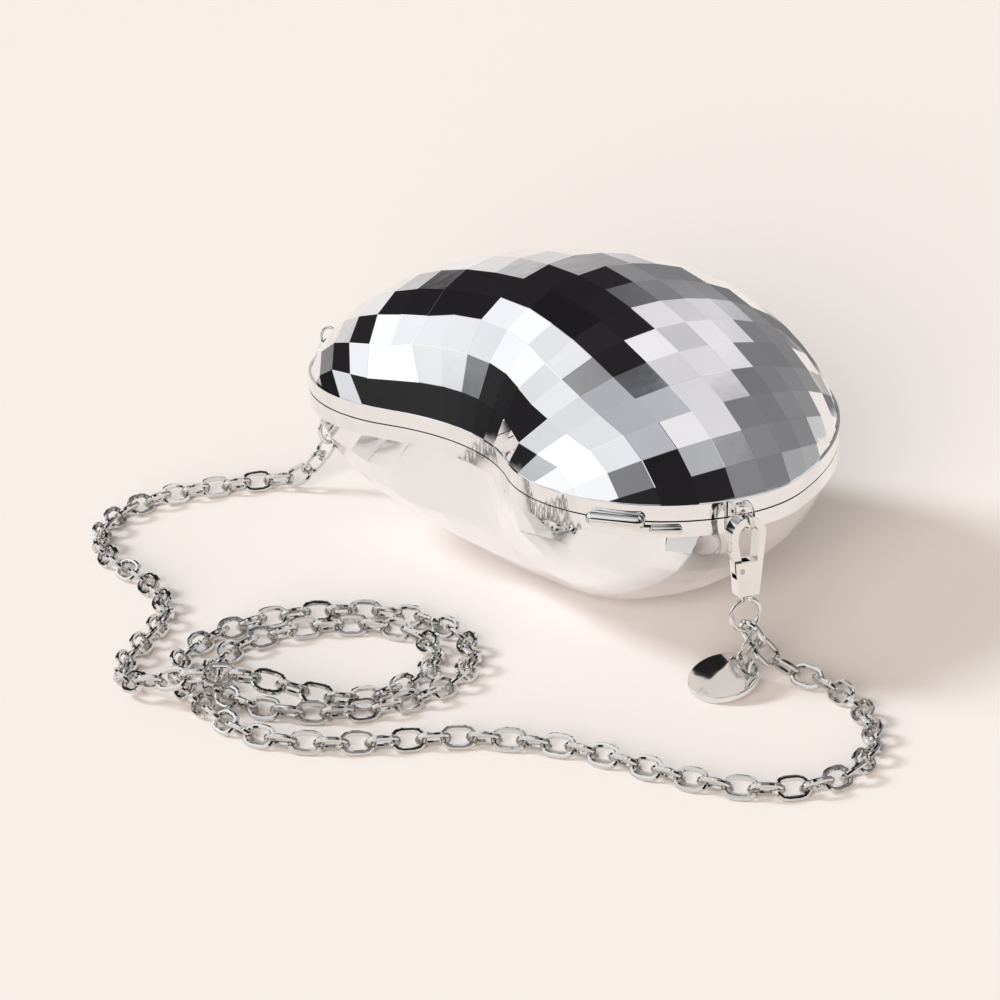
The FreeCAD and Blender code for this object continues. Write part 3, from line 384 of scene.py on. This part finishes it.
print("shader helpers ready")


# %% [markdown]
# ## Bright plating
# Plated plastic and plated zinc are mirrors that are never quite flat: the plating follows the
# slow waves of what is under it, which smears the edges of what it reflects, and it picks up a
# haze of fine hairlines in use. Faint smudges shade the colour, the roughness takes the
# hairlines, and a very low bump makes the waves.

# %% Plated finishes
WAVE_DETAIL = 1.5
WAVE_ROUGHNESS = 0.4
HAIRLINE_TURN = (0.4, 0.2, 0.7)
HAIRLINE_STRETCH = (1, 26, 9)
HAIRLINE_SCALE = 210
HAIRLINE_SHOWS = (0.58, 0.8)
SMUDGE_SCALE = 46
SMUDGE_DULLS = (0.45, 0.8)
SMUDGE_SHADES = (0.35, 0.75)
SMUDGE_ROUGHER = 0.8
SMUDGE_TONE = 0.965


def plated(name, colour, rough, wave_width, wave_height, hairlines):
    material, tree, shader = finish_tree(name)
    shader.inputs["Metallic"].default_value = 1
    place = node(tree, "ShaderNodeTexCoord")["Object"]
    waves = node(tree, "ShaderNodeTexNoise", None,
                 {"Vector": place, "Scale": 1 / wave_width, "Detail": WAVE_DETAIL,
                  "Roughness": WAVE_ROUGHNESS})["Fac"]
    stretched = node(tree, "ShaderNodeMapping", None,
                     {"Vector": place, "Rotation": HAIRLINE_TURN, "Scale": HAIRLINE_STRETCH})["Vector"]
    lines = node(tree, "ShaderNodeTexNoise", None,
                 {"Vector": stretched, "Scale": HAIRLINE_SCALE, "Detail": 2, "Roughness": 0.6})["Fac"]
    smudge = node(tree, "ShaderNodeTexNoise", None,
                  {"Vector": place, "Scale": SMUDGE_SCALE, "Detail": 3})["Fac"]
    marks = lines.eased(*HAIRLINE_SHOWS) * hairlines
    feed(tree, shader, Roughness=marks + smudge.eased(*SMUDGE_DULLS) * (rough * SMUDGE_ROUGHER) + rough)
    smudged = tuple(part * SMUDGE_TONE for part in colour)
    feed(tree, shader, Base_Color=blended(tree, smudge.eased(*SMUDGE_SHADES), colour, smudged))
    bump = node(tree, "ShaderNodeBump", None,
                {"Height": waves, "Strength": 1, "Distance": wave_height})["Normal"]
    feed(tree, shader, Normal=bump)
    return material


FACET_FINISH = plated(
    "mirror_plating", (0.90, 0.905, 0.915), rough=0.012,
    wave_width=5 * MM, wave_height=0.012 * MM, hairlines=0.05)
BAND_FINISH = plated(
    "band_plating", (0.88, 0.88, 0.88), rough=0.05,
    wave_width=9 * MM, wave_height=0.012 * MM, hairlines=0.07)
LINK_FINISH = plated(
    "link_plating", (0.72, 0.71, 0.69), rough=0.045,
    wave_width=1.2 * MM, wave_height=0.008 * MM, hairlines=0.12)
HARDWARE_FINISH = plated(
    "hardware_plating", (0.84, 0.83, 0.81), rough=0.045,
    wave_width=2.5 * MM, wave_height=0.01 * MM, hairlines=0.1)
STEEL_FINISH = plated(
    "plain_steel", (0.56, 0.56, 0.57), rough=0.2,
    wave_width=3 * MM, wave_height=0.01 * MM, hairlines=0.2)
dress(strap, LINK_FINISH)
print("plated finishes ready")

# %% [markdown]
# ## Shells of flat tiles
# Each half is one moulding whose face is broken into flat tiles, like a mirror ball. The packed
# shell has the tiles' corners, but two triangles to a tile. Its columns fan out from one axis
# under the purse. Its rows keep their distance from the cleft, except over the cleft itself,
# where they are counted from the rim. Every edge that follows neither a column nor a row is a
# diagonal and is dissolved. A narrow bevel along the lines catches light as the moulded edges
# do. All edges are marked sharp and the faces smooth, so that each tile shows one flat mirror.
# The wall of the cleft leans back as it rises, and the same lean is given to the lining.

# %% Tiles
WELD = 2e-6
SEAM = 41 * MM
BAND_HEIGHT = 4 * MM
FAN_DEPTH = 28 * MM
CLEFT_FAN = 1.29
CREST = 1 * MM
TILE_EDGE = 0.07 * MM
SAME_COLUMN = 0.012
COLUMN_GAP = 0.06
SAME_ROW = 1.2 * MM
SAME_HEIGHT = 0.02 * MM
CLEFT_MIDDLE = Vector((0, -94.3 * MM))
CLEFT_RADIUS = 56 * MM
LEAN = 0.084
LEAN_GROWTH = 7.7
LEAN_FADE = 12 * MM


def merged_copy(name):
    bm = bmesh.new()
    bm.from_mesh(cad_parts[name].data)
    bmesh.ops.remove_doubles(bm, verts=bm.verts, dist=WELD)
    return bm


def height(vert):
    return abs(vert.co.z - SEAM)


def fan(vert):
    return vert.co.x / (height(vert) + FAN_DEPTH)


def on_rim(vert):
    return height(vert) < BAND_HEIGHT + SAME_HEIGHT


def counted_rows(verts):
    """Rows over the cleft, counted up from the rim along each column."""
    columns = []
    over_cleft = [vert for vert in verts if vert.co.y < CREST - SAME_ROW and abs(fan(vert)) < CLEFT_FAN]
    for vert in sorted(over_cleft, key=fan):
        if not columns or fan(vert) - fan(columns[-1][-1]) > COLUMN_GAP:
            columns.append([])
        columns[-1].append(vert)
    return {vert: row for column in columns for row, vert in enumerate(sorted(column, key=height))}


def is_tile_line(edge, rows, top):
    first, second = edge.verts
    on_rims = on_rim(first) + on_rim(second)
    if on_rims == 2:
        return True
    if min(height(first), height(second)) > top - SAME_HEIGHT:
        return False
    if abs(fan(first) - fan(second)) < SAME_COLUMN:
        return True
    apart = abs(first.co.y - second.co.y)
    if on_rims == 1:
        return apart < SAME_HEIGHT
    if first in rows and second in rows:
        return rows[first] == rows[second]
    return apart < SAME_ROW


def lean_back(bm):
    """Pull the wall of the cleft back, more with height, fading out away from it."""
    for vert in bm.verts:
        lift = max(height(vert) - BAND_HEIGHT, 0)
        inward = vert.co.xy - CLEFT_MIDDLE
        depth = max(inward.length - CLEFT_RADIUS, 0)
        share = max(1 - (fan(vert) / CLEFT_FAN) ** 2, 0) * math.exp(-depth / LEAN_FADE)
        move = inward.normalized() * (LEAN * lift + LEAN_GROWTH * lift ** 2) * share
        vert.co.xy = vert.co.xy + move
    bm.normal_update()


def outer_faces(bm):
    middle = Vector((0, 0, SEAM))
    return {face for face in bm.faces if face.normal.dot(face.calc_center_median() - middle) > 0}


def tiled_shell(name):
    bm = merged_copy(name)
    top = max(height(vert) for vert in bm.verts)
    outer = outer_faces(bm)
    rows = counted_rows({vert for face in outer for vert in face.verts if not on_rim(vert)})
    crossing = []
    for edge in bm.edges:
        if all(face in outer for face in edge.link_faces) and not is_tile_line(edge, rows, top):
            crossing.append(edge)
    bmesh.ops.dissolve_edges(bm, edges=crossing, use_verts=False)
    tiles = outer_faces(bm)
    count = len(tiles)
    lean_back(bm)
    ridges = [edge for edge in bm.edges if all(face in tiles for face in edge.link_faces)]
    bmesh.ops.bevel(
        bm, geom=ridges, offset=TILE_EDGE, segments=1, profile=0.5, affect="EDGES", material=-1)
    return bm, count


for half, body in (("upper", "lid"), ("lower", "case")):
    tiled, count = tiled_shell(half + "_shell")
    shell = finished(half + "_tiles", tiled, 0)
    dress(shell, FACET_FINISH)
    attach(shell, body)
    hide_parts(half + "_shell")
    print(shell.name, "has", count, "tiles")

# %% [markdown]
# ## Bands, clasp, hinge and fittings
# Turned and cast fittings have small rounded edges, and those edges are what shines. Each piece
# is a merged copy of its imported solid: flat triangles are dissolved into whole faces, and the
# edges sharper than a set angle are bevelled. Round faces keep their smooth shading. The borders
# of each bevel are marked sharp, or its smooth shading would bend the flat mirrors beside it.
# The two rings that swing in the hooks are slimmed by a tenth of a millimetre for their swing.

# %% Softened pieces
FLAT_ENOUGH = math.radians(1.5)
SHARP = math.radians(38)
MANY_SIDED = 9
SWINGING_RINGS = ("right_ring", "left_ring")
RING_SLIM = 0.12 * MM


def slimmed(bm, amount):
    """Draw every point in along its normal."""
    bm.normal_update()
    for vert in bm.verts:
        vert.co = vert.co - vert.normal * amount


def softened(name, radius):
    bm = merged_copy(name)
    bmesh.ops.dissolve_limit(bm, angle_limit=FLAT_ENOUGH, verts=bm.verts, edges=bm.edges)
    if name in SWINGING_RINGS:
        slimmed(bm, RING_SLIM)
    sharp = [edge for edge in bm.edges if edge.is_manifold and edge.calc_face_angle() > SHARP]
    borders = set()
    if radius:
        made = bmesh.ops.bevel(
            bm, geom=sharp, offset=radius, offset_type="OFFSET", segments=2, profile=0.5, affect="EDGES",
            clamp_overlap=True, material=-1)
        strips = set(made["faces"])
        borders = {edge for edge in bm.edges if len({face in strips for face in edge.link_faces}) == 2}
    bmesh.ops.recalc_face_normals(bm, faces=bm.faces)
    piece = finished(name + "_soft", bm, SHARP, borders)
    for face in piece.data.polygons:
        face.use_smooth = len(face.vertices) < MANY_SIDED
    return piece


# Node, body, slot, finish and edge radius in millimetres
PIECES = [
    ("upper_frame", "lid", "polished_trim", BAND_FINISH, 0.05),
    ("lower_frame", "case", "polished_trim", BAND_FINISH, 0.05),
    ("clasp_upper_bar", "lid", "polished_trim", HARDWARE_FINISH, 0.5),
    ("clasp_lower_bar", "case", "polished_trim", HARDWARE_FINISH, 0.12),
    ("hinge_upper_leaf", "lid", "hinge_steel", STEEL_FINISH, 0.12),
    ("hinge_lower_leaf", "case", "hinge_steel", STEEL_FINISH, 0.12),
    ("hinge_pin", "case", "hinge_steel", STEEL_FINISH, 0.1),
    ("charm_ring", "charm", "charm_metal", HARDWARE_FINISH, 0),
    ("charm_disc", "charm", "charm_metal", HARDWARE_FINISH, 0.3),
]
for side in ("right", "left"):
    PIECES += [
        (side + "_lug", "case", "hardware_metal", HARDWARE_FINISH, 0.15),
        (side + "_ring", side + "_ring_body", "hardware_metal", HARDWARE_FINISH, 0),
        (side + "_hook_body", side + "_hook", "hardware_metal", HARDWARE_FINISH, 0.22),
        (side + "_hook_gate", side + "_gate", "hardware_metal", HARDWARE_FINISH, 0.15),
        (side + "_gate_pin", side + "_hook", "hinge_steel", STEEL_FINISH, 0.08),
        (side + "_gate_spring", side + "_hook", "hinge_steel", STEEL_FINISH, 0),
        (side + "_swivel_eye", "case", "hardware_metal", HARDWARE_FINISH, 0.12),
    ]
soft_pieces = {}
for name, body, slot_name, finish, radius in PIECES:
    piece = softened(name, radius * MM)
    dress(piece, finish)
    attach(piece, body)
    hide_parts(name)
    soft_pieces[name] = piece
print("softened", len(soft_pieces), "pieces")

# %% [markdown]
# ## Linings
# The inside is lined with thin black leather. Its grain is a bump of small cells, broken up by
# a finer noise, and the hollows between the cells are a little duller than their tops.

# %% Leather
GRAIN_SCALE = 900
PORE_SCALE = 2600
WEAR_SCALE = 55
HOLLOW_COLOUR = (0.012, 0.011, 0.012)
GRAIN_COLOUR = (0.026, 0.025, 0.027)
GRAIN_DEPTH = 0.08 * MM
LINING_SMOOTH = math.radians(30)


def leather():
    material, tree, shader = finish_tree("black_leather")
    place = node(tree, "ShaderNodeTexCoord")["Object"]
    grain = node(tree, "ShaderNodeTexVoronoi", {"feature": "DISTANCE_TO_EDGE"},
                 {"Vector": place, "Scale": GRAIN_SCALE, "Randomness": 0.9})["Distance"]
    pores = node(tree, "ShaderNodeTexNoise", None,
                 {"Vector": place, "Scale": PORE_SCALE, "Detail": 2})["Fac"]
    wear = node(tree, "ShaderNodeTexNoise", None,
                {"Vector": place, "Scale": WEAR_SCALE, "Detail": 3})["Fac"]
    raised = grain.eased(0.02, 0.22)
    feed(tree, shader, Base_Color=blended(tree, raised, HOLLOW_COLOUR, GRAIN_COLOUR))
    feed(tree, shader, Roughness=0.62 - raised * 0.14 + wear * 0.1)
    lift = raised + pores * 0.25
    bump = node(tree, "ShaderNodeBump", None,
                {"Height": lift, "Strength": 0.5, "Distance": GRAIN_DEPTH})["Normal"]
    feed(tree, shader, Normal=bump)
    return material


LEATHER = leather()
for half, body in (("upper", "lid"), ("lower", "case")):
    tray = merged_copy(half + "_lining")
    lean_back(tray)
    lining = finished(half + "_leather", tray, LINING_SMOOTH)
    dress(lining, LEATHER)
    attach(lining, body)
    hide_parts(half + "_lining")
print("linings dressed")

# %% [markdown]
# ## Floor and light
# The purse stands on a pale table under soft cool light from the left. A warmer light low in
# front opens the shadow and tints it. Out of the picture a dark cloth covers the table on the
# left, and a grey board lies behind. They make the dark tiles along the rim and at the back.
# Only reflections see them, so the picture's ground stays whole. Soft grey patches of painted
# shade, also seen only in reflections, stand in for the uneven shading of the floor in the mirrors.

# %% Floor and lights
FLOOR_HALF = 6
FLOOR_COLOUR = (0.872, 0.818, 0.795)
# Colour, size and share of the grey patches of painted shade that only reflections see
PAINTED_SHADE_COLOUR = (0.55, 0.53, 0.52)
PAINTED_SHADE_SCALE = 24
PAINTED_SHADE_SHARE = 0.9
CLOTH_COLOUR = (0.012, 0.011, 0.012)
CLOTH_AHEAD = (-0.67, -0.74)
CLOTH_START = (0.195, 0.215)
CLOTH_SIDE = (0.15, -0.99)
CLOTH_EDGE = (0.03, 0.05)
BOARD_COLOUR = (0.19, 0.19, 0.195)
BOARD_AHEAD = (-0.62, 0.79)
BOARD_START = (0.22, 0.25)
BOARD_SIDE = (0.79, 0.62)
BOARD_EDGES = ((0.0, 0.02), (0.10, 0.13))


def floor_finish():
    material, tree, shader = finish_tree("studio_floor")
    place = node(tree, "ShaderNodeTexCoord")["Object"]
    spot = node(tree, "ShaderNodeSeparateXYZ", None, {"Vector": place})

    def along(way):
        return spot["X"] * way[0] + spot["Y"] * way[1]

    seen_in_mirrors = node(tree, "ShaderNodeLightPath")["Is Glossy Ray"]
    # Painted shade: grey patches that only reflections see, standing in for the floor's uneven shading
    painted_shade_noise = node(tree, "ShaderNodeTexNoise", None,
                   {"Vector": place, "Scale": PAINTED_SHADE_SCALE, "Detail": 1})["Fac"]
    shade = (painted_shade_noise - 0.5).at_least(0) * PAINTED_SHADE_SHARE * seen_in_mirrors
    tone = blended(tree, shade, FLOOR_COLOUR, PAINTED_SHADE_COLOUR)
    across = along(BOARD_SIDE)
    board = along(BOARD_AHEAD).eased(*BOARD_START) * across.eased(*BOARD_EDGES[0])
    board = board * (1 - across.eased(*BOARD_EDGES[1])) * seen_in_mirrors
    tone = blended(tree, board, tone, BOARD_COLOUR)
    cloth = along(CLOTH_AHEAD).eased(*CLOTH_START) * along(CLOTH_SIDE).eased(*CLOTH_EDGE) * seen_in_mirrors
    feed(tree, shader, Base_Color=blended(tree, cloth, tone, CLOTH_COLOUR))
    shader.inputs["Roughness"].default_value = 0.9
    shader.inputs["Specular IOR Level"].default_value = 0.1
    return material


ground = bmesh.new()
bmesh.ops.create_grid(ground, x_segments=1, y_segments=1, size=FLOOR_HALF)
floor = finished("studio_floor", ground)
dress(floor, floor_finish())


def lamp(name, spot, softness, power, colour):
    """A far lamp, so that the floor is lit evenly."""
    light = bpy.data.lights.new(name, "SUN")
    light.angle = math.radians(softness)
    light.energy = power
    light.color = colour
    holder = bpy.data.objects.new(name, light)
    holder.location = spot
    holder.rotation_mode = "QUATERNION"
    holder.rotation_quaternion = (-Vector(spot)).to_track_quat("-Z", "Y")
    holder.visible_glossy = False
    scene.collection.objects.link(holder)


lamp("key_light", (-1.25, -1.35, 1.55), softness=19, power=1.915, colour=(0.867, 0.934, 1.0))
lamp("fill_light", (1.2, -1.5, 0.5), softness=30, power=4.65, colour=(1.0, 0.93, 0.86))
print("floor and lamps ready")

# %% [markdown]
# ## The room in the mirrors
# A mirror shows the room, so the room matters more than the lamps. It is drawn in the world as
# plain soft-edged cards, and only reflections see it. A direction is given by its turn, in
# degrees from +X toward +Y, and its rise above the floor. Later cards hang in front of earlier
# ones, and a card's lower and upper edges may slope.

# %% Room
world = bpy.data.worlds.new("studio_room")
world.use_nodes = True
scene.world = world
room = world.node_tree
room.nodes.clear()
way = node(room, "ShaderNodeTexCoord")["Generated"]
ray = node(room, "ShaderNodeSeparateXYZ", None, {"Vector": way})
FIRST_TURN = 20
heading = ray["Y"].math("ARCTAN2", ray["Y"], ray["X"]) * math.degrees(1) - FIRST_TURN
turn = heading.math("FLOORED_MODULO", heading, 360) + FIRST_TURN
rise = ray["Z"].math("ARCSINE", ray["Z"], 0) * math.degrees(1)


def hung(behind, colour, turns, rises, soft, slopes=(0, 0), about=0):
    """The colour behind, with one card hung in front of it."""
    across = turn.eased(turns[0] - soft, turns[0] + soft) - turn.eased(turns[1] - soft, turns[1] + soft)
    low = rise - (turn - about) * slopes[0]
    high = rise - (turn - about) * slopes[1]
    above = low.eased(rises[0] - soft, rises[0] + soft)
    below = 1 - high.eased(rises[1] - soft, rises[1] + soft)
    return blended(room, across * above * below, behind, colour)


ROOM_COLOUR = (0.24, 0.235, 0.24)
BLACK = (0.022, 0.020, 0.022)
WHITE = (0.86, 0.84, 0.86)
PALE = (0.87, 0.84, 0.83)
# Colour, turns, rises and softness of each card, then the slopes of its edges and their pivot
CARDS = [
    # Ceiling, low pale wall and white screens behind the purse
    ((0.48, 0.49, 0.52), (0, 400), (68, 200), 5),
    ((0.62, 0.61, 0.61), (70, 112), (-200, 4), 9),
    (WHITE, (97, 126), (17, 66), 3, (-1.15, 0), 120),
    (WHITE, (20, 101), (50, 77), 3),
    (WHITE, (100, 130), (33, 66), 3),
    ((0.6, 0.6, 0.61), (371, 400), (46, 68), 3),
    # Dark flags high behind and low on the left
    (BLACK, (134, 172), (26, 72), 4, (0, -0.4), 150),
    (BLACK, (196, 283), (-200, 5), 2),
    # Window of light on the left with its brighter middle
    ((0.94, 0.95, 0.98), (174, 292), (3, 54), 4, (0, 0.2), 197),
    ((1.16, 1.16, 1.16), (228, 268), (5, 36), 8),
    # Dark flag under the window's far side, and two pale cards in front of it
    (BLACK, (146, 228), (-200, 27), 3, (0, -1.2), 195),
    (PALE, (138, 158), (-200, 26), 3, (0, 0.8), 155),
    (PALE, (152, 200), (-200, 26), 3, (0, -0.95), 155),
    # Black curtain round the camera, with one small pale card above it
    (BLACK, (282, 373), (-200, 38), 4, (0, 0.85), 307),
    ((1.12, 1.07, 1.05), (306, 326), (36, 60), 2),
]
AMBIENT_COLOUR = (1.0, 0.92, 0.84, 1)
AMBIENT_STRENGTH = 0.38
DRIFT_SCALE = 5.5
DRIFT_BASE = 0.45
DRIFT_GAIN = 1.1
seen = ROOM_COLOUR
for card in CARDS:
    seen = hung(seen, *card)
drift = node(room, "ShaderNodeTexNoise", None,
             {"Vector": way, "Scale": DRIFT_SCALE, "Detail": 1})["Fac"]
rays = node(room, "ShaderNodeLightPath")
ambient = node(room, "ShaderNodeBackground", None,
               {"Color": AMBIENT_COLOUR, "Strength": AMBIENT_STRENGTH})["Background"]
mirrored = node(room, "ShaderNodeBackground", None,
                {"Color": seen, "Strength": drift * DRIFT_GAIN + DRIFT_BASE})["Background"]
output = room.nodes.new("ShaderNodeOutputWorld")
both = node(room, "ShaderNodeMixShader", None,
            {0: rays["Is Glossy Ray"], 1: ambient, 2: mirrored})["Shader"]
room.links.new(both.socket, output.inputs["Surface"])
print("room of", len(room.nodes), "nodes")

# %% [markdown]
# ## The hooks' pieces
# The pieces of each hook are looked up among the softened pieces.

# %% Hook pieces
for side in ("right", "left"):
    for name in ("hook_body", "hook_gate", "gate_pin", "gate_spring", "swivel_eye"):
        soft_pieces[side + "_" + name]
